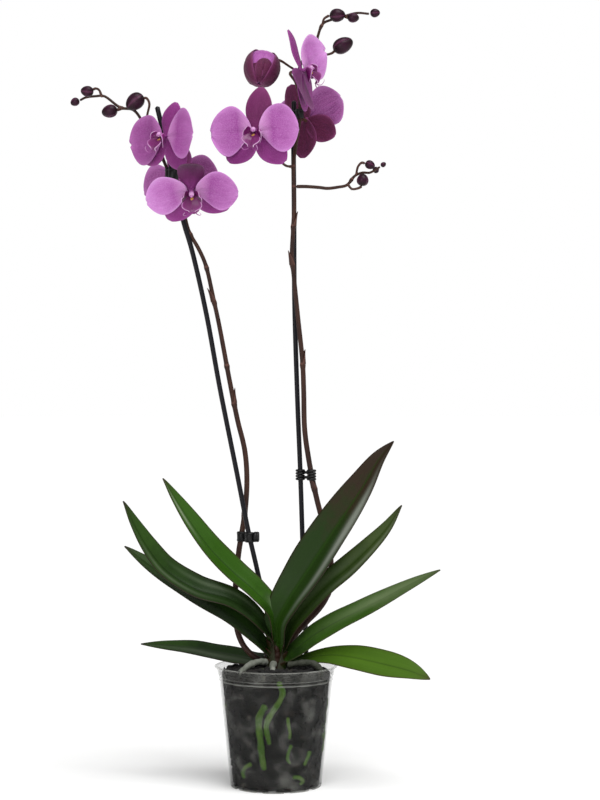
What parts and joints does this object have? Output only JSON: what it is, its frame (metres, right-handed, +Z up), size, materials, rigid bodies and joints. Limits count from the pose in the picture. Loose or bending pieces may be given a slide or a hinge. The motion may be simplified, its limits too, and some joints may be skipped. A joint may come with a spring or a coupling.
{
  "type": "potted orchid",
  "caption": "Potted moth orchid with two staked flower spikes of pink blooms and buds, long leaves and aerial roots, in a thin clear grower's pot.",
  "frame": {"origin": "centre of the pot's underside, in the plane it stands on", "axes": "+Z up along the pot's axis; -Y is the front, which the flowers face; +X is to the viewer's right"},
  "size_m": [0.358, 0.149, 0.7579],
  "materials": {
    "clear_plastic": "satin",
    "bark": "rough",
    "leaf": "satin",
    "root": "matte",
    "stem": "satin",
    "stake": "satin",
    "clip": "satin",
    "petal": "satin",
    "sepal": "satin",
    "lip": "satin",
    "bud": "satin"
  },
  "bodies": {
    "root": {"pot": "clear_plastic", "growing_medium": "bark", "crown": "leaf", "leaf_left_upper": "leaf", "leaf_left_middle": "leaf", "leaf_left_lower": "leaf", "leaf_left_bottom": "leaf", "leaf_right_upper": "leaf", "leaf_right_middle": "leaf", "leaf_right_lower": "leaf", "leaf_right_bottom": "leaf", "root_left": "root", "root_front": "root", "root_right": "root", "spike_left": "stem", "spike_right": "stem", "side_branch": "stem", "stake_left": "stake", "stake_right": "stake", "clip_left_lower": "clip", "clip_left_upper": "clip", "clip_right_lower": "clip", "clip_right_upper": "clip", "flower_left_top_sepals": "sepal", "flower_left_top_petal_left": "petal", "flower_left_top_petal_right": "petal", "flower_left_top_lip": "lip", "flower_left_back_sepals": "sepal", "flower_left_back_petal_left": "petal", "flower_left_back_petal_right": "petal", "flower_left_back_lip": "lip", "flower_left_front_sepals": "sepal", "flower_left_front_petal_left": "petal", "flower_left_front_petal_right": "petal", "flower_left_front_lip": "lip", "flower_right_front_sepals": "sepal", "flower_right_front_petal_left": "petal", "flower_right_front_petal_right": "petal", "flower_right_front_lip": "lip", "flower_right_top_sepals": "sepal", "flower_right_top_petal_left": "petal", "flower_right_top_petal_right": "petal", "flower_right_top_lip": "lip", "flower_right_back_sepals": "sepal", "flower_right_back_petal_left": "petal", "flower_right_back_petal_right": "petal", "flower_right_back_lip": "lip", "half_open_bud": "bud", "bud_left_1": "bud", "bud_left_2": "bud", "bud_left_3": "bud", "bud_left_4": "bud", "bud_right_1": "bud", "bud_right_2": "bud", "bud_right_3": "bud", "bud_right_4": "bud", "bud_branch_1": "bud", "bud_branch_2": "bud", "bud_branch_3": "bud", "bud_branch_4": "bud"}
  },
  "joints": []
}
